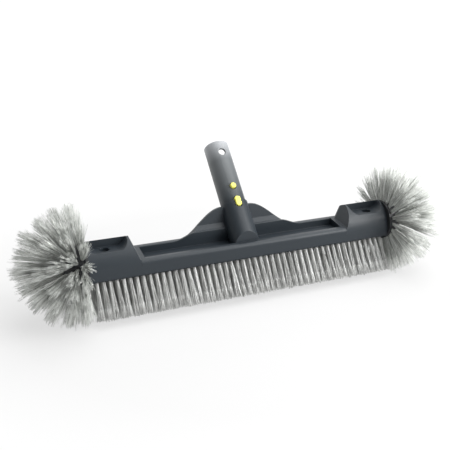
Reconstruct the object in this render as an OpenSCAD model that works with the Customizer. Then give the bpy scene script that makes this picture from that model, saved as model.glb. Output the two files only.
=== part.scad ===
// Pool wall brush with two round brush ends.
// X runs along the brush, +Y is the side the handle leans to, +Z is up.
// Z = 0 is the plane the bristle tips stand on, X = 0 is the middle of the brush and Y = 0 is
// midway between the front of the round ends and the rear of the handle's open end.

/* [Brush back] */
// Length of the moulded brush back, without the round ends
back_len = 351; // [340:1:372]
// Width of the brush back, front wall to rear wall
back_w = 36; // [35:0.5:40]
// Height of the bristle plate's underside above the bristle tips
root_z = 44.5; // [40:0.5:60]
// Height of the trough floor above the plate's underside
floor_h = 12.8; // [11:0.1:14]
// Height of the front rail above the plate's underside
front_rail_h = 18; // [17:0.5:20]
// Height of the rear rail above the plate's underside
rear_rail_h = 21.2; // [20:0.1:24]
// Half length of the trough between the end housings
trough_half = 116; // [110:0.5:122]

/* [Handle] */
// Diameter of the insert that goes inside the pole
insert_d = 28.5; // [26:0.5:30]
// Diameter of the collar that the pole's end stops against
collar_d = 31.75; // [31:0.25:34]
// Wall thickness of the insert
insert_wall = 3; // [2.5:0.25:4]
// Lean of the handle from upright, in degrees
lean = 45; // [40:1:50]
// Distance of the shoulder from the handle's start
shoulder_t = 66; // [64:0.5:68]
// Distance of the handle's open end from its start
end_t = 143; // [140:1:150]
// Distance of the hang hole from the handle's start
hang_t = 128; // [126:0.5:130]
// Diameter of the hang hole
hang_d = 8.5; // [6:0.5:9]
// Distance of the lock pins from the handle's start
lock_t = 83.5; // [82:0.5:90]
// Diameter of the lock pins
lock_d = 6.4; // [5.5:0.1:6.6]

/* [Bristles] */
// Tufts in each long row
tufts = 49; // [40:1:49]
// Distance between tufts along a row
pitch = 7; // [6.5:0.1:7]
// Distance between rows at the roots
row_pitch = 6.5; // [6.2:0.1:6.6]
// Diameter of a tuft at its root
tuft_d = 3.4; // [3:0.1:3.4]
// Diameter of a tuft at its tip
tip_d = 8; // [6:0.5:9]

/* [Round ends] */
// Height of the round ends' axis above the tips
hub_z = 60; // [59:0.5:62]
// Radius of the round end's bristles
ball_r = 60; // [50:0.5:60]
// Distance of the round end's centre beyond the hub's flange
ball_out = 9; // [0:0.5:12]
// Radius of the hub's flange
flange_r = 22.5; // [21:0.5:24]
// Radius of the hub's dome
dome_r = 20; // [18:0.5:21]

/* [Hidden] */

hw = back_w / 2;
hl = back_len / 2;
plate_t = 8.5;            // thickness of the bristle plate
plate_hw = hw - 2.2;      // half width of the plate
plate_hl = hl - 3.5;      // half length of the plate
gap = 0.1;                // clearance of parts that are fitted together
handle_y = -18.15;        // where the handle's axis crosses the plate's underside
insert_r = insert_d / 2;
bore_r = insert_r - insert_wall;
rail_in = 10;             // inner face of the front rail
wall_in = hw - 6;         // inner face of the rear rail
flange_x = hl + 0.1;      // inner face of the hub's flange
flange_t = 3;
dome_x = flange_x + flange_t;
dome_cx = dome_x + 2.2;   // centre of the hub's dome
hub_rel = hub_z - root_z;
// the modules below are drawn about the middle of the brush back, which lies this far in front
// of the middle of the whole brush
notch_r = 13;             // radius of the notch in the insert's rear wall
notch_t = 130;            // lowest point of that notch
notch_x = sqrt(pow(notch_r, 2) - pow(notch_t + notch_r - end_t + 1.2, 2));
rear_reach = handle_y + (end_t - 1.2 + sqrt(pow(insert_r, 2) - pow(notch_x, 2))) * sin(lean);
back_y = (ball_r - rear_reach) / 2;
screw_x = 155.5;
seat_h = 29;              // floor of the scoops, above the plate's underside
tongue_w = 24;
tongue_h = 11.6;
tongue_z = 9.9;           // underside of the tongue, above the plate's underside
tongue_in = 142;
hinge_t = 117;            // where the spring's leaves leave its bend
leaf_r = 7.4;             // distance of the leaves from the handle's axis
leaf_t = 0.8;
leaf_w = 8;
pad_w = 9;
button_t = [61.3, 66.5];  // the two lobes of the push button
// rows: root position, splay from upright, length below the plate
rows = [for (i = [-2:2]) let (s = [31.5, 15, 0, 15, 31.5][i + 2])
  [i * row_pitch, sign(i) * s,
   [40, (root_z - 2.2) / cos(15), root_z, (root_z - 2.2) / cos(15), 40][i + 2]]];
hole_depth = 7;
// rings of tufts on a round end: angle from the end's axis, tufts in the ring
rings = [[90, 18], [72, 18], [54, 14], [36, 10], [18, 5], [0, 1]];

module placed() translate([0, back_y, 0]) children();
module body_color() color([0.27, 0.29, 0.31]) placed() children();
module nylon() color([0.70, 0.70, 0.68]) placed() children();
module yellow() color([0.93, 0.90, 0.42]) placed() children();
module steel() color([0.72, 0.73, 0.74]) placed() children();

// a YZ outline drawn out along X from x0 to x1
module along_x(x0, x1) translate([x0, 0, 0]) rotate([90, 0, 90])
  linear_extrude(x1 - x0) children();
module lifted() translate([0, 0, root_z]) children();
// the handle's own frame: Z along the handle, -Y its front face
module on_handle() translate([0, handle_y, root_z]) rotate([-lean, 0, 0]) children();
module both_ends() for (m = [0, 1]) mirror([m, 0, 0]) children();

// ---- brush back ----

// the back's lower half with its rounded lower edges
module lower_section(top) {
  translate([-hw, 3]) square([back_w, top - 3]);
  translate([-hw + 3, 0]) square([back_w - 6, 4]);
  for (s = [-1, 1]) translate([s * (hw - 3), 3]) circle(r = 3, $fn = 40);
}

module back_section() {
  lower_section(floor_h);
  // front rail with its rounded outer edge
  translate([-hw, floor_h - 1]) square([hw - rail_in, front_rail_h - 4.5 - floor_h + 1]);
  translate([-hw + 4.5, front_rail_h - 4.5]) circle(r = 4.5, $fn = 48);
  translate([-hw + 4.5, floor_h - 1]) square([hw - rail_in - 4.5, front_rail_h - floor_h + 1]);
  // rear rail, flat on top with softened edges
  translate([wall_in, floor_h - 1]) square([hw - wall_in, rear_rail_h - 1.2 - floor_h + 1]);
  translate([wall_in + 1.2, floor_h - 1]) square([hw - wall_in - 2.4, rear_rail_h - floor_h + 1]);
  for (y = [wall_in + 1.2, hw - 1.2]) translate([y, rear_rail_h - 1.2]) circle(r = 1.2, $fn = 32);
}

// pocket in the underside for the bristle plate
module plate_pocket() along_x(-plate_hl - gap, plate_hl + gap)
  translate([-plate_hw - gap, -1]) square([2 * (plate_hw + gap), plate_t + gap + 1]);

// outline of an end housing: two arcs that lean to the rear
module housing_section() intersection() {
  translate([12, 10]) circle(r = 29.97, $fn = 96);
  translate([-2, 12]) circle(r = 27, $fn = 96);
  translate([-hw, plate_t + gap]) square([back_w, 40]);
}

// side outline of a housing: its inner end slopes up from the trough's rim, hollow at the foot
function slope_x(z) = 119.6 + 0.4535 * (z - 18);
module inner_end() translate([120, 12, 19.8]) rotate([0, 0, 2.5]) translate([-120, -12, 0])
  rotate([97, 0, 0]) translate([0, -19.8, -40]) linear_extrude(80) difference() {
    polygon([[119.45, 5], [119.45, 19.8], [120.815, 20.681], [slope_x(60), 60], [hl + 2, 60], [hl + 2, 5]]);
    translate([119.45, 21.3]) circle(r = 1.5, $fn = 40);
  }

// what is cut off where the slope turns into the housing's rear, a corner of radius r
module rear_corner(r) translate([119.8, 0, 18]) rotate([0, 24.4, 0]) translate([0, 0, -30])
  linear_extrude(100) difference() {
    translate([-8, 18 - r]) square([8 + r, 30]);
    translate([r, 18 - r]) circle(r = r, $fn = 64);
  }

module end_housing() difference() {
  union() {
    difference() {
      intersection() {
        along_x(trough_half, hl) housing_section();
        inner_end();
      }
      rear_corner(8);
    }
    along_x(trough_half + 1, hl) lower_section(10);
    // rim between the trough and the slope
    along_x(trough_half, trough_half + 18) polygon([[-hw + 4.5, floor_h - 4],
      [-hw + 4.5, front_rail_h], [wall_in + 1, rear_rail_h], [hw - 1.2, rear_rail_h],
      [hw - 0.05, rear_rail_h - 1.2], [hw - 0.05, floor_h - 4]]);
  }
  // scoop in the top, open to the front
  translate([0, 7, 0]) rotate([90, 0, 0]) linear_extrude(40) scoop_outline();
  // seat and shank hole of the hub screw
  translate([screw_x, -1, seat_h - 5]) cylinder(d = 10.5, h = 20, $fn = 48);
  translate([screw_x, -1, tongue_z]) cylinder(d = 4.5, h = 30, $fn = 32);
  // socket for the hub's tongue
  translate([tongue_in, -tongue_w / 2 - 0.2, tongue_z - 0.1])
    cube([60, tongue_w + 0.4, tongue_h + 0.3]);
}

module scoop_outline() {
  x0 = 130.5; x1 = 173.5; r0 = 12; r1 = 9.5;
  translate([x0 + r0, seat_h]) square([x1 - x0 - r0 - r1, 30]);
  translate([x0, seat_h + r0]) square([x1 - x0 - r1, 30]);
  translate([x1 - 20, seat_h + r1]) square([20, 30]);
  translate([x0 + r0, seat_h + r0]) circle(r = r0, $fn = 64);
  translate([x1 - r1, seat_h + r1]) circle(r = r1, $fn = 48);
}

// an outline over the rear rail: full height in the middle, falling to the rail in an S-curve
function swell(x, h, x0, x1) = h * (1 + cos(180 * (max(abs(x), x0) - x0) / (x1 - x0))) / 2;
module over_rail(h, x0, x1) translate([0, 80, rear_rail_h]) rotate([90, 0, 0]) linear_extrude(80)
  polygon(concat([for (i = [-26:26]) [i * x1 / 26, swell(i * x1 / 26, h + 0.3, x0, x1) - 0.3]],
    [[x1, -4], [-x1, -4]]));

// wings behind the handle, with a sloping foot
module wings() intersection() {
  over_rail(27.1, 17, 70);
  along_x(-69, 69) polygon([[13, 19], [13, 26.6], [14.4, 27.1], [15.4, 27.9], [19.4, 32.1],
    [22.6, 50], [25.7, 50], [22.4, 32.5], [17.5, 21], [17.5, 19]]);
}

// low wall in front of the wings
module low_wall() intersection() {
  over_rail(6.8, 50, 76);
  along_x(-75, 75) polygon([[wall_in, 19], [wall_in, 27.4], [wall_in + 0.6, 28], [14.2, 28], [14.2, 19]]);
}

module handle_outside() {
  cylinder(d = collar_d, h = shoulder_t, $fn = 96);
  cylinder(d = insert_d, h = end_t - 1.2, $fn = 96);
  translate([0, 0, end_t - 1.2]) cylinder(d1 = insert_d, d2 = insert_d - 2, h = 1.2, $fn = 96);
}

module handle_cuts() {
  difference() {
    translate([0, 0, 48]) cylinder(r = bore_r, h = 120, $fn = 96);
    // boss that the spring is bent round
    translate([-20, 0, hinge_t + 1]) rotate([0, 90, 0]) cylinder(r = leaf_r - leaf_t / 2 - 0.3, h = 40, $fn = 48);
  }
  // hang hole in the front wall, and the notch in the rear wall
  translate([0, -40, hang_t]) rotate([-90, 0, 0]) cylinder(d = hang_d, h = 40, $fn = 48);
  translate([0, 2.5, notch_t + notch_r]) rotate([-90, 0, 0]) cylinder(r = notch_r, h = 30, $fn = 96);
  // lock pin holes and push button slots, front and rear
  translate([0, -40, lock_t - 0.2]) rotate([-90, 0, 0]) cylinder(d = lock_d + 1.4, h = 80, $fn = 48);
  for (t = [button_t[0] - 0.5, button_t[1]])
    translate([0, -40, t]) rotate([-90, 0, 0]) cylinder(d = 8.2, h = 80, $fn = 48);
  translate([-4.1, -40, button_t[0] - 0.5]) cube([8.2, 80, button_t[1] - button_t[0] + 0.5]);
}

module brush_back() body_color() difference() {
  union() {
    lifted() {
      along_x(-trough_half - 5, trough_half + 5) back_section();
      both_ends() end_housing();
      wings();
      low_wall();
    }
    intersection() {
      on_handle() handle_outside();
      translate([-40, -rail_in - 0.5, root_z + floor_h - 1]) cube([80, 160, 160]);
    }
  }
  lifted() plate_pocket();
  on_handle() handle_cuts();
}

// ---- bristle plate and its tufts ----

module tuft_frames(r) for (i = [0:tufts - 1])
  translate([(i - (tufts - 1) / 2) * pitch, r[0], root_z]) rotate([r[1], 0, 0]) children();

module bristle_plate() body_color() difference() {
  translate([-plate_hl, -plate_hw, root_z]) cube([2 * plate_hl, 2 * plate_hw, plate_t]);
  for (r = rows) tuft_frames(r) translate([0, 0, -3]) cylinder(d = tuft_d + 0.2, h = hole_depth + 3, $fn = 20);
}

// a tuft: packed round in its hole, spreading to its tip
module tuft(len) {
  translate([0, 0, -0.01]) cylinder(d = tuft_d, h = hole_depth - 1.3, $fn = 20);
  translate([0, 0, -len]) cylinder(d1 = tip_d, d2 = tuft_d, h = len, $fn = 20);
}

module tuft_row(r) nylon() tuft_frames(r) tuft(r[2]);
module tuft_row_front() tuft_row(rows[0]);
module tuft_row_second() tuft_row(rows[1]);
module tuft_row_middle() tuft_row(rows[2]);
module tuft_row_fourth() tuft_row(rows[3]);
module tuft_row_rear() tuft_row(rows[4]);

// flat wire anchors that hold the folded tufts at the bottom of their holes
module tuft_anchors() steel() for (r = rows) tuft_frames(r)
  translate([-1.5, -0.3, hole_depth - 1.2]) cube([3, 0.6, 1.1]);

// ---- round ends, modelled on the right and mirrored ----

module ring_frames() for (q = rings) for (k = [0:q[1] - 1])
  translate([dome_cx, 0, hub_z]) rotate([360 * (k + (q[0] / 18 % 2) / 2) / q[1], 0, 0])
    rotate([0, 90 - q[0], 0]) children();

module end_hub() body_color() difference() {
  union() {
    translate([flange_x, 0, hub_z]) rotate([0, 90, 0]) cylinder(r = flange_r, h = flange_t, $fn = 96);
    translate([dome_x, 0, hub_z]) rotate([0, 90, 0]) rotate_extrude($fn = 96) dome_outline(dome_r);
    translate([tongue_in + 0.3, -tongue_w / 2, root_z + tongue_z])
      cube([flange_x - tongue_in, tongue_w, tongue_h]);
  }
  translate([screw_x, -1, root_z]) cylinder(d = 4, h = 40, $fn = 32);
  ring_frames() translate([0, 0, dome_r - 6]) cylinder(d = 3.6, h = 10, $fn = 20);
}

module dome_outline(r) {
  translate([0, -0.2]) square([r, dome_cx - dome_x + 0.2]);
  translate([0, dome_cx - dome_x]) intersection() { circle(r = r, $fn = 96); square([r, r]); }
}

module end_bristles() nylon() translate([dome_x, 0, hub_z]) rotate([0, 90, 0])
  rotate_extrude($fn = 96) intersection() {
    difference() {
      translate([0, ball_out]) circle(r = ball_r, $fn = 96);
      dome_outline(dome_r + 0.3);
    }
    translate([0, 0.4]) square([100, 100]);
  }

module end_anchors() steel() ring_frames()
  translate([-1.5, -0.3, dome_r - 5.9]) cube([3, 0.6, 1.1]);

module hub_screw() steel() difference() {
  translate([screw_x, -1, root_z]) {
    translate([0, 0, tongue_z + 1]) cylinder(d = 3.95, h = seat_h - 5 - tongue_z - 0.9, $fn = 32);
    translate([0, 0, seat_h - 5]) cylinder(d = 8, h = 1.6, $fn = 48);
    translate([0, 0, seat_h - 3.4]) cylinder(d1 = 8, d2 = 6, h = 0.9, $fn = 48);
  }
  for (a = [20, 110]) translate([screw_x, -1, root_z + seat_h - 3.9]) rotate([0, 0, a])
    translate([-2.2, -0.45, 0]) cube([4.4, 0.9, 4]);
}

module left() mirror([1, 0, 0]) children();
module left_end_hub() left() end_hub();
module right_end_hub() end_hub();
module left_end_bristles() left() end_bristles();
module right_end_bristles() end_bristles();
module left_end_anchors() left() end_anchors();
module right_end_anchors() end_anchors();
module left_hub_screw() left() hub_screw();
module right_hub_screw() hub_screw();

// ---- spring clip in the handle ----

module clip_spring_bend() steel() on_handle() intersection() {
  translate([-leaf_w / 2, 0, hinge_t + 1]) rotate([0, 90, 0]) difference() {
    cylinder(r = leaf_r + leaf_t / 2, h = leaf_w, $fn = 64);
    translate([0, 0, -1]) cylinder(r = leaf_r - leaf_t / 2, h = leaf_w + 2, $fn = 64);
  }
  translate([-20, -20, hinge_t + 1]) cube([40, 40, 20]);
}

// the front leaf; the rear one is turned half way round the handle
module spring_leaf()
  translate([-leaf_w / 2, -leaf_r - leaf_t / 2, 56.5]) cube([leaf_w, leaf_t, hinge_t + 1 - 56.5 - 0.05]);

module push_block() {
  translate([-pad_w / 2, -leaf_r - leaf_t / 2 - 2, 56.5]) cube([pad_w, 2, lock_t + 5 - 56.5]);
  // lock pin
  translate([0, -leaf_r - leaf_t / 2 - 1, lock_t]) rotate([90, 0, 0]) {
    cylinder(d = lock_d, h = 7.4, $fn = 40);
    translate([0, 0, 7.4]) cylinder(d1 = lock_d, d2 = lock_d - 1.6, h = 0.8, $fn = 40);
  }
  // push button with two lobes
  for (t = button_t) translate([0, -leaf_r - leaf_t / 2 - 1, t]) rotate([90, 0, 0]) {
    cylinder(d = 6.8, h = 7.6, $fn = 40);
    translate([0, 0, 7.6]) cylinder(d1 = 6.8, d2 = 5.2, h = 0.8, $fn = 40);
  }
  translate([-3, -leaf_r - leaf_t / 2 - 8.9, button_t[0]]) cube([6, 8, button_t[1] - button_t[0]]);
}

module front_spring_leaf() steel() on_handle() spring_leaf();
module rear_spring_leaf() steel() on_handle() rotate([0, 0, 180]) spring_leaf();
module front_push_block() yellow() on_handle() push_block();
module rear_push_block() yellow() on_handle() rotate([0, 0, 180]) push_block();

brush_back();
bristle_plate();
tuft_row_front();
tuft_row_second();
tuft_row_middle();
tuft_row_fourth();
tuft_row_rear();
tuft_anchors();
left_end_hub();
right_end_hub();
left_end_bristles();
right_end_bristles();
left_end_anchors();
right_end_anchors();
left_hub_screw();
right_hub_screw();
clip_spring_bend();
front_spring_leaf();
rear_spring_leaf();
front_push_block();
rear_push_block();
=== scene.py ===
import math

import bpy
import numpy as np
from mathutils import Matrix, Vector


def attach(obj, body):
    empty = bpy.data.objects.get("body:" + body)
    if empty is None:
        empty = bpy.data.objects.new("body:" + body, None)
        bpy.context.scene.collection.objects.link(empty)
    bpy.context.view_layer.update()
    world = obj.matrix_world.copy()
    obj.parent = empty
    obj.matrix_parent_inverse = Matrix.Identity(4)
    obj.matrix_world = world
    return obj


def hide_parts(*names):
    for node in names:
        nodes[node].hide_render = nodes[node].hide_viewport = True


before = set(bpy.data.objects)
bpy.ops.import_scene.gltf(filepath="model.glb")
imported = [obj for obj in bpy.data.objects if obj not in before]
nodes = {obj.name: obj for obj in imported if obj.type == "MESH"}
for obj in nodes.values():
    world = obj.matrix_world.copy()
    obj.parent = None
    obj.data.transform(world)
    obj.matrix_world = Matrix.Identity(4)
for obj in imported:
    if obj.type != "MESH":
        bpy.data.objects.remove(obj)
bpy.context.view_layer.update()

# ---------------------------------------------------------------- sizes, in millimetres
# The brush's own parts are laid out about the middle of its back, BACK_Y behind the origin.
BACK_Y = -13.165482
ROOT_Z = 44.5          # underside of the bristle plate
HANDLE_Y = -18.15
PITCH, TUFTS = 7.0, 49
HUB_Z, DOME_CX, DOME_R = 60.0, 180.8, 20.0
BALL_CX, BALL_R = 187.6, 60.0
SPLAY = [-31.5, -15.0, 0.0, 15.0, 31.5]
ROOT_Y = [-13.0, -6.5, 0.0, 6.5, 13.0]
LENGTH = [40.0, (ROOT_Z - 2.2) / math.cos(math.radians(15)), ROOT_Z,
          (ROOT_Z - 2.2) / math.cos(math.radians(15)), 40.0]
RINGS = [(90, 18), (72, 18), (54, 14), (36, 10), (18, 5), (0, 1)]


def pt(x, y, z):
    """A point given in millimetres about the middle of the back, as metres in the row frame."""
    return Vector((x / 1000, (y + BACK_Y) / 1000, z / 1000))


# ---------------------------------------------------------------- camera
cam_data = bpy.data.cameras.new("camera")
cam = bpy.data.objects.new("camera", cam_data)
bpy.context.scene.collection.objects.link(cam)
cam.location = pt(-300.7, -681.9, 360.7)
yaw, down = math.radians(22.22), math.radians(20.80)
aim = Vector((math.sin(yaw) * math.cos(down), math.cos(yaw) * math.cos(down), -math.sin(down)))
cam.rotation_euler = aim.to_track_quat("-Z", "Y").to_euler()
cam_data.sensor_width = 36
cam_data.lens = 58.3
cam_data.clip_start, cam_data.clip_end = 0.01, 50
bpy.context.scene.camera = cam


# ---------------------------------------------------------------- node helpers
def new_material(name):
    m = bpy.data.materials.new(name)
    m.use_nodes = True
    t = m.node_tree
    for n in list(t.nodes):
        t.nodes.remove(n)
    out = t.nodes.new("ShaderNodeOutputMaterial")
    bsdf = t.nodes.new("ShaderNodeBsdfPrincipled")
    t.links.new(bsdf.outputs["BSDF"], out.inputs["Surface"])
    return m, t, bsdf


def noise(t, scale, detail=3.0, rough=0.55, stretch=None, seed=0.0):
    co = t.nodes.new("ShaderNodeTexCoord")
    mp = t.nodes.new("ShaderNodeMapping")
    mp.inputs["Location"].default_value = (seed, seed * 1.7, seed * 0.6)
    if stretch:
        mp.inputs["Scale"].default_value = stretch
    t.links.new(co.outputs["Object"], mp.inputs["Vector"])
    n = t.nodes.new("ShaderNodeTexNoise")
    n.inputs["Scale"].default_value = scale
    n.inputs["Detail"].default_value = detail
    n.inputs["Roughness"].default_value = rough
    t.links.new(mp.outputs["Vector"], n.inputs["Vector"])
    return n.outputs["Fac"]


def ramp(t, fac, stops):
    r = t.nodes.new("ShaderNodeValToRGB")
    e = r.color_ramp.elements
    e[0].position, e[0].color = stops[0][0], (*stops[0][1], 1)
    e[1].position, e[1].color = stops[-1][0], (*stops[-1][1], 1)
    for p, c in stops[1:-1]:
        x = e.new(p)
        x.color = (*c, 1)
    t.links.new(fac, r.inputs["Fac"])
    return r.outputs["Color"]


def mapped(t, fac, lo, hi, f0=0.0, f1=1.0):
    m = t.nodes.new("ShaderNodeMapRange")
    m.inputs["From Min"].default_value, m.inputs["From Max"].default_value = f0, f1
    m.inputs["To Min"].default_value, m.inputs["To Max"].default_value = lo, hi
    t.links.new(fac, m.inputs["Value"])
    return m.outputs["Result"]


def bump(t, height, strength, distance, normal=None):
    b = t.nodes.new("ShaderNodeBump")
    b.inputs["Strength"].default_value = strength
    b.inputs["Distance"].default_value = distance
    t.links.new(height, b.inputs["Height"])
    if normal is not None:
        t.links.new(normal, b.inputs["Normal"])
    return b.outputs["Normal"]


def mix(t, kind, fac, a, b):
    m = t.nodes.new("ShaderNodeMix")
    m.data_type = "RGBA"
    m.blend_type = kind
    if isinstance(fac, float):
        m.inputs["Factor"].default_value = fac
    else:
        t.links.new(fac, m.inputs["Factor"])
    for v, k in ((a, 6), (b, 7)):
        if isinstance(v, tuple):
            m.inputs[k].default_value = (*v, 1)
        else:
            t.links.new(v, m.inputs[k])
    return m.outputs[2]


def srgb(r, g, b):
    f = lambda c: c / 12.92 if c <= 0.04045 else ((c + 0.055) / 1.055) ** 2.4
    return tuple(f(v / 255) for v in (r, g, b))


def moulded(name, dark, light, rough=(0.36, 0.48), grain=0.010, seed=0.0, spec=0.42, edge=0.6, painted_tip_light=None):
    """Moulded plastic: faint flow clouds, a fine spark-eroded grain and handling scuffs."""
    m, t, s = new_material(name)
    cloud = noise(t, 34, 4, 0.6, (0.45, 1, 1), seed)
    fleck = noise(t, 900, 2, 0.5, None, seed + 2)
    colour = mix(t, "MIX", mapped(t, cloud, 0.0, 1.0, 0.32, 0.70), dark, light)
    colour = mix(t, "SOFT_LIGHT", 0.18, colour, ramp(t, fleck, [(0.3, (0.35,) * 3), (0.7, (0.65,) * 3)]))
    if painted_tip_light:
        # painted highlight: the handle's colour grows lighter towards its tip, standing in for light there;
        # distance along it from the plate's underside
        co = t.nodes.new("ShaderNodeTexCoord")
        dot = t.nodes.new("ShaderNodeVectorMath")
        dot.operation = "DOT_PRODUCT"
        q = math.sqrt(0.5)
        dot.inputs[1].default_value = (0, q, q)
        t.links.new(co.outputs["Object"], dot.inputs[0])
        start = q * ((HANDLE_Y + BACK_Y) / 1000 + ROOT_Z / 1000)
        painted_light_along = mapped(t, dot.outputs["Value"], 0.0, 1.0, start + 0.062, start + 0.150)
        colour = mix(t, "MIX", 1.0, colour, ramp(t, painted_light_along, [(0.0, dark), (0.30, painted_tip_light[0]), (0.65, painted_tip_light[1]), (1.0, painted_tip_light[2])]))
    t.links.new(colour, s.inputs["Base Color"])
    scuff = noise(t, 120, 5, 0.7, (0.25, 1, 1), seed + 5)
    t.links.new(mapped(t, scuff, rough[0], rough[1], 0.3, 0.72), s.inputs["Roughness"])
    g = noise(t, 2600, 2, 0.6, None, seed + 7)
    soft = t.nodes.new("ShaderNodeBevel")
    soft.samples = 4
    soft.inputs["Radius"].default_value = edge / 1000
    n = bump(t, g, 0.25, grain / 1000, soft.outputs["Normal"])
    n = bump(t, cloud, 0.25, 0.00025, n)
    t.links.new(n, s.inputs["Normal"])
    s.inputs["Specular IOR Level"].default_value = spec
    return m


def metal(name, tint, rough=(0.26, 0.42), stretch=(1, 1, 1), seed=0.0):
    m, t, s = new_material(name)
    s.inputs["Metallic"].default_value = 1.0
    a = noise(t, 420, 4, 0.6, stretch, seed)
    dark = tuple(c * 0.82 for c in tint)
    t.links.new(mix(t, "MIX", mapped(t, a, 0.0, 1.0, 0.3, 0.7), dark, tint), s.inputs["Base Color"])
    t.links.new(mapped(t, a, rough[0], rough[1], 0.3, 0.7), s.inputs["Roughness"])
    t.links.new(bump(t, a, 0.3, 0.00002), s.inputs["Normal"])
    return m


def filament(name, colour, rough):
    m, t, s = new_material(name)
    s.inputs["Base Color"].default_value = (*colour, 1)
    s.inputs["Roughness"].default_value = rough
    s.inputs["Specular IOR Level"].default_value = 0.45
    return m


# painted highlight: the last colours given here make the handle lighter towards its tip
BODY = moulded("slate_plastic", srgb(35, 42, 48), srgb(42, 49, 56), rough=(0.38, 0.50), seed=1,
               painted_tip_light=[(0.086, 0.095, 0.100), (0.122, 0.132, 0.138), (0.46, 0.475, 0.495)])
HUB = moulded("slate_plastic_hub", srgb(26, 28, 30), srgb(32, 34, 37), seed=4)
# painted shade: the bristle plate is darker than the back, for the shade in the gaps between the tufts' roots
PLATE_PAINTED_SHADE = moulded("slate_plastic_plate", srgb(30, 33, 36), srgb(36, 39, 43), seed=9)
YELLOW = moulded("yellow_plastic", srgb(240, 236, 110), srgb(248, 244, 130), (0.26, 0.38), 0.006, seed=3, edge=0.4)
STEEL = metal("spring_strip_steel", (0.62, 0.63, 0.64), (0.22, 0.36), (8, 1, 1), 2)
SCREW = metal("screw_plating", (0.13, 0.135, 0.14), (0.34, 0.5), (1, 1, 1), 6)
WIRE = metal("anchor_wire", (0.66, 0.66, 0.64), (0.3, 0.4), (1, 1, 1), 8)

GREYS = [filament("nylon_%02d" % i, srgb(*c), r) for i, (c, r) in enumerate([
    ((197, 198, 196), 0.42), ((214, 215, 213), 0.38), ((230, 231, 229), 0.34),
    ((174, 175, 173), 0.46), ((146, 146, 144), 0.5), ((116, 116, 114), 0.5)])]
SHADE_P = np.array([0.26, 0.26, 0.18, 0.15, 0.10, 0.05])
# painted light: a paler copy of the nylon greys for the round ends, standing in for more light on them
PALE_PAINTED_LIGHT = [filament("nylon_pale_%02d" % i, srgb(*c), r) for i, (c, r) in enumerate([
    ((208, 211, 207), 0.42), ((222, 225, 221), 0.38), ((236, 238, 234), 0.34),
    ((188, 190, 186), 0.46), ((158, 160, 156), 0.5), ((124, 125, 122), 0.5)])]


def paint(names, material):
    for n in names:
        o = nodes[n]
        o.data.materials.clear()
        o.data.materials.append(material)


paint(["brush_back"], BODY)
paint(["left_end_hub", "right_end_hub"], HUB)
paint(["bristle_plate"], PLATE_PAINTED_SHADE)
paint(["front_push_block", "rear_push_block"], YELLOW)
paint(["clip_spring_bend", "front_spring_leaf", "rear_spring_leaf"], STEEL)
paint(["left_hub_screw", "right_hub_screw"], SCREW)
paint(["tuft_anchors", "left_end_anchors", "right_end_anchors"], WIRE)


# ---------------------------------------------------------------- bristles
def unit(v):
    return v / np.linalg.norm(v, axis=-1, keepdims=True)


def disc(rng, n, power=0.5):
    r = rng.random(n) ** power
    a = rng.random(n) * 2 * math.pi
    return r * np.cos(a), r * np.sin(a)


def frames(d):
    """Two directions across each d."""
    ref = np.where(np.abs(d[:, 2:3]) < 0.9, np.array([[0, 0, 1.0]]), np.array([[1.0, 0, 0]]))
    u = unit(np.cross(ref, d))
    return u, np.cross(d, u)


def strands(name, paths, radius, shades, materials, sides=4, tip_light=None):
    """One mesh of thin closed prisms. paths is (strands, points, 3) in metres.
    The last argument gives each shade's lighter neighbour for a strand's last segment and end cap: painted light
    on the strands' ends."""
    n, k, _ = paths.shape
    tan = np.empty_like(paths)
    tan[:, 1:-1] = paths[:, 2:] - paths[:, :-2]
    tan[:, 0] = paths[:, 1] - paths[:, 0]
    tan[:, -1] = paths[:, -1] - paths[:, -2]
    tan = unit(tan)
    u, _ = frames(tan[:, 0])
    co = np.empty((n, k, sides, 3))
    for j in range(k):
        t = tan[:, j]
        u = unit(u - (u * t).sum(1, keepdims=True) * t)
        v = np.cross(t, u)
        for s in range(sides):
            a = 2 * math.pi * (s + 0.5) / sides
            co[:, j, s] = paths[:, j] + radius[:, j, None] * (math.cos(a) * u + math.sin(a) * v)
    base = (np.arange(n) * k * sides)[:, None, None]
    j = np.arange(k - 1)[None, :, None] * sides
    s = np.arange(sides)[None, None, :]
    s2 = (s + 1) % sides
    quads = np.stack([base + j + s, base + j + s2, base + j + sides + s2, base + j + sides + s], -1).reshape(-1, 4)
    cap = np.arange(sides)
    ends = np.concatenate([(np.arange(n) * k * sides)[:, None] + cap[None, ::-1],
                           (np.arange(n) * k * sides)[:, None] + (k - 1) * sides + cap[None]], 0)
    loops = np.concatenate([quads.ravel(), ends.ravel()]).astype(np.int32)
    nq, ne = len(quads), len(ends)
    starts = np.concatenate([np.arange(nq) * 4, nq * 4 + np.arange(ne) * sides]).astype(np.int32)
    me = bpy.data.meshes.new(name)
    me.vertices.add(n * k * sides)
    me.vertices.foreach_set("co", co.astype(np.float32).ravel())
    me.loops.add(len(loops))
    me.loops.foreach_set("vertex_index", loops)
    me.polygons.add(nq + ne)
    me.polygons.foreach_set("loop_start", starts)
    smooth = np.concatenate([np.ones(nq, bool), np.zeros(ne, bool)])
    me.polygons.foreach_set("use_smooth", smooth)
    for m in materials:
        me.materials.append(m)
    # painted light: a strand's last segment and end cap take the lighter neighbour shade
    end = shades if tip_light is None else tip_light[shades]
    index = np.repeat(shades, (k - 1) * sides).reshape(n, k - 1, sides)
    index[:, (k - 1) * 4 // 5:] = end[:, None, None]
    index = np.concatenate([index.ravel(), shades, end]).astype(np.int32)
    me.polygons.foreach_set("material_index", index)
    me.update(calc_edges=True)
    me.validate()
    o = bpy.data.objects.new(name, me)
    bpy.context.scene.collection.objects.link(o)
    return o


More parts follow.
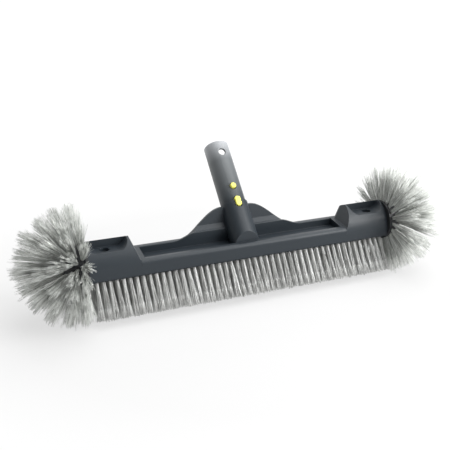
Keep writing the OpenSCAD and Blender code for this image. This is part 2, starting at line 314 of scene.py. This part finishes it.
def tuft(rng, root, axis, length, count, root_r, tip_r, trim, bend, inside=5.5, lean=0.35,
         clumps=7, pull=0.4, flare=1.1, ragged=0.0):
    """Paths of a tuft's filaments, in millimetres: packed in its hole, then spreading to its tip
    in a few clumps, each with its own length."""
    u, v = frames(axis[None])
    u, v = u[0], v[0]
    a, b = disc(rng, count)
    ra, rb = a * root_r, b * root_r
    ja, jb = disc(rng, count)
    ta = a * (1 - lean) + ja * lean
    tb = b * (1 - lean) + jb * lean
    ca, cb = disc(rng, clumps, 0.6)
    own = np.argmin((ta[:, None] - ca) ** 2 + (tb[:, None] - cb) ** 2 + 0.05 * rng.random((count, clumps)), 1)
    held = pull * (0.55 + 0.45 * rng.random(count))
    ta = (ta * (1 - held) + ca[own] * held) * tip_r
    tb = (tb * (1 - held) + cb[own] * held) * tip_r
    near = np.hypot(ta - ca[own] * tip_r, tb - cb[own] * tip_r) / tip_r
    step = rng.normal(0, ragged, clumps)
    ln = length + trim * (rng.random(count) - 0.5) * 2 + step[own] - near * ragged * 1.5
    drift = rng.normal(0, 1, 2) * bend * 0.5
    wa, wb = rng.normal(0, bend, count), rng.normal(0, bend, count)
    wc, wd = rng.normal(0, bend, count), rng.normal(0, bend, count)
    stations = [None, 0.0, 0.22, 0.46, 0.72, 1.0]
    out = np.empty((count, len(stations), 3))
    for i, s in enumerate(stations):
        if s is None:
            along, fa, fb = np.full(count, -inside), ra, rb
        else:
            along = s * ln
            g = s ** flare
            wob = math.sin(math.pi * s)
            wob2 = math.sin(2 * math.pi * s)
            fa = ra * (1 - g) + ta * g + wa * wob + wc * wob2 * 0.4 + drift[0] * s * s
            fb = rb * (1 - g) + tb * g + wb * wob + wd * wob2 * 0.4 + drift[1] * s * s
        out[:, i] = root + along[:, None] * axis + fa[:, None] * u + fb[:, None] * v
    return out, own


def to_world(paths):
    p = paths.copy()
    p[..., 1] += BACK_Y
    p[..., 2] = np.maximum(p[..., 2], 0.25)
    return p / 1000


def shade_of(rng, own, alike=0.5, p=SHADE_P):
    """A shade for each filament: mostly that of its clump."""
    n = len(own)
    shared = rng.choice(len(GREYS), own.max() + 1, p=p)
    return np.where(rng.random(n) < alike, shared[own], rng.choice(len(GREYS), n, p=p))


def radii(rng, n, k, r, taper=0.8):
    w = np.linspace(1, taper, k)[None]
    return (r * (0.92 + 0.16 * rng.random((n, 1))) * w) / 1000


ROW_NODES = ["tuft_row_front", "tuft_row_second", "tuft_row_middle", "tuft_row_fourth", "tuft_row_rear"]
ROW_P = np.array([0.30, 0.18, 0.06, 0.26, 0.15, 0.05])
END_P = np.array([0.24, 0.21, 0.19, 0.14, 0.12, 0.10])
# each shade's lighter neighbour, painted on the strands' ends as light
PAINTED_TIP_LIGHT = np.array([1, 2, 2, 0, 3, 4])
ROW_COUNT = [120, 64, 50, 64, 120]
for r, node in enumerate(ROW_NODES):
    rng = np.random.default_rng(100 + r)
    a = math.radians(SPLAY[r])
    axis0 = np.array([0.0, math.sin(a), -math.cos(a)])
    allp, shades = [], []
    for i in range(TUFTS):
        x = (i - (TUFTS - 1) / 2) * PITCH
        axis = unit(axis0 + np.array([rng.normal(0, 0.012), rng.normal(0, 0.010), 0]))
        p, own = tuft(rng, np.array([x, ROOT_Y[r], ROOT_Z]), axis, LENGTH[r], ROW_COUNT[r], 1.55, 4.9, 0.9, 0.3,
                      clumps=14, pull=0.45, flare=1.55, ragged=0.6)
        allp.append(p)
        shades.append(shade_of(rng, own, 0.12, ROW_P))
    p = to_world(np.concatenate(allp))
    o = strands("bristles_" + node.replace("tuft_", ""), p, radii(rng, len(p), p.shape[1], 0.225), np.concatenate(shades), GREYS, 3, PAINTED_TIP_LIGHT)
    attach(o, "brush")
    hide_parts(node)

for side, sx in (("left", -1.0), ("right", 1.0)):
    rng = np.random.default_rng(200 if sx < 0 else 317)
    allp, shades = [], []
    for q0, count in RINGS:
        q = math.radians(q0)
        for k in range(count):
            turn = math.radians(360 * (k + ((q0 / 18) % 2) / 2) / count)
            axis = np.array([sx * math.cos(q), -math.sin(q) * math.sin(turn) * 1.0, math.sin(q) * math.cos(turn)])
            # OpenSCAD turns the ring about +X: z to -y
            centre = np.array([sx * DOME_CX, 0, HUB_Z])
            root = centre + axis * (DOME_R + 0.1)
            # the widest ring leans outwards, clear of the back's end
            out = 0.10 if q0 == 90 else 0.0
            lean_axis = unit(axis + rng.normal(0, 0.028, 3) + np.array([sx * out, 0, 0]))
            # distance from the root to the round end's outline
            c = root - np.array([sx * BALL_CX, 0, HUB_Z])
            bq = float(c @ lean_axis)
            dist = -bq + math.sqrt(bq * bq - float(c @ c) + (BALL_R + 0.6) ** 2)
            n = 90
            p, own = tuft(rng, root, lean_axis, dist + rng.normal(0, 1.0), n, 1.55, 9.8, 1.8, 0.45, inside=5.0,
                          lean=0.35, clumps=18, pull=0.5, flare=1.15, ragged=1.7)
            allp.append(p)
            shades.append(shade_of(rng, own, 0.18, END_P))
    p = to_world(np.concatenate(allp))
    o = strands("bristles_%s_end" % side, p, radii(rng, len(p), p.shape[1], 0.28, 0.40), np.concatenate(shades), PALE_PAINTED_LIGHT, 3, PAINTED_TIP_LIGHT)
    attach(o, "brush")
    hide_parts(side + "_end_bristles")

# ---------------------------------------------------------------- floor and lights
fm, ft, fs = new_material("floor")
fs.inputs["Base Color"].default_value = (0.23, 0.23, 0.23, 1)
fs.inputs["Roughness"].default_value = 0.9
fs.inputs["Specular IOR Level"].default_value = 0.0
fs.inputs["Emission Color"].default_value = (1, 1, 1, 1)
# painted light: the floor glows though it is no lamp, weaker near the middle so the brush's soft shadow shows and
# stronger away from it, so the far floor is plain white
co = ft.nodes.new("ShaderNodeTexCoord")
far = ft.nodes.new("ShaderNodeVectorMath")
far.operation = "LENGTH"
ft.links.new(co.outputs["Object"], far.inputs[0])
ft.links.new(mapped(ft, far.outputs["Value"], 0.618, 0.98, 0.25, 0.95), fs.inputs["Emission Strength"])
me = bpy.data.meshes.new("floor")
S = 14.0
me.from_pydata([(-S, -S, 0), (S, -S, 0), (S, S, 0), (-S, S, 0)], [], [(0, 1, 2, 3)])
me.materials.append(fm)
floor = bpy.data.objects.new("floor", me)
bpy.context.scene.collection.objects.link(floor)

# a plain white wall far around the table; it is only looked at and lights nothing
wm = bpy.data.materials.new("studio_wall")
wm.use_nodes = True
wt = wm.node_tree
wt.nodes.clear()
glow = wt.nodes.new("ShaderNodeEmission")
glow.inputs["Color"].default_value = (1, 1, 1, 1)
glow.inputs["Strength"].default_value = 1.0
wt.links.new(glow.outputs[0], wt.nodes.new("ShaderNodeOutputMaterial").inputs["Surface"])
ring = [(math.cos(2 * math.pi * i / 48) * 13.0, math.sin(2 * math.pi * i / 48) * 13.0) for i in range(48)]
me = bpy.data.meshes.new("studio_wall")
me.from_pydata([(x, y, -0.5) for x, y in ring] + [(x, y, 9.0) for x, y in ring], [],
               [(i, (i + 1) % 48, 48 + (i + 1) % 48, 48 + i) for i in range(48)])
me.materials.append(wm)
wall = bpy.data.objects.new("studio_wall", me)
bpy.context.scene.collection.objects.link(wall)
for ray in ("diffuse", "glossy", "transmission", "volume_scatter", "shadow"):
    setattr(wall, "visible_" + ray, False)

world = bpy.data.worlds.new("studio")
bpy.context.scene.world = world
world.use_nodes = True
bg = world.node_tree.nodes["Background"]
bg.inputs["Color"].default_value = (1, 1, 1, 1)
bg.inputs["Strength"].default_value = 0.34


def area(name, loc, aim_at, size, power, size_y=None):
    d = bpy.data.lights.new(name, "AREA")
    d.energy = power
    d.shape = "RECTANGLE"
    d.size, d.size_y = size, size_y or size
    o = bpy.data.objects.new(name, d)
    o.location = loc
    o.rotation_euler = (Vector(aim_at) - Vector(loc)).to_track_quat("-Z", "Y").to_euler()
    o.visible_camera = False
    bpy.context.scene.collection.objects.link(o)
    return o


area("top_softbox", (0.55, 0.0, 1.6), (0, 0, 0), 2.6, 38, 2.0)
area("front_right_softbox", (1.2, -1.0, 0.8), (0.05, 0, 0.05), 1.1, 33, 0.9)
area("rear_backdrop", (0.0, 2.4, 0.9), (0, 0, 0.1), 5.0, 34, 1.8)

scene = bpy.context.scene
scene.view_settings.view_transform = "Standard"
scene.view_settings.look = "None"
scene.view_settings.exposure = 0.0
scene.view_settings.gamma = 1.0
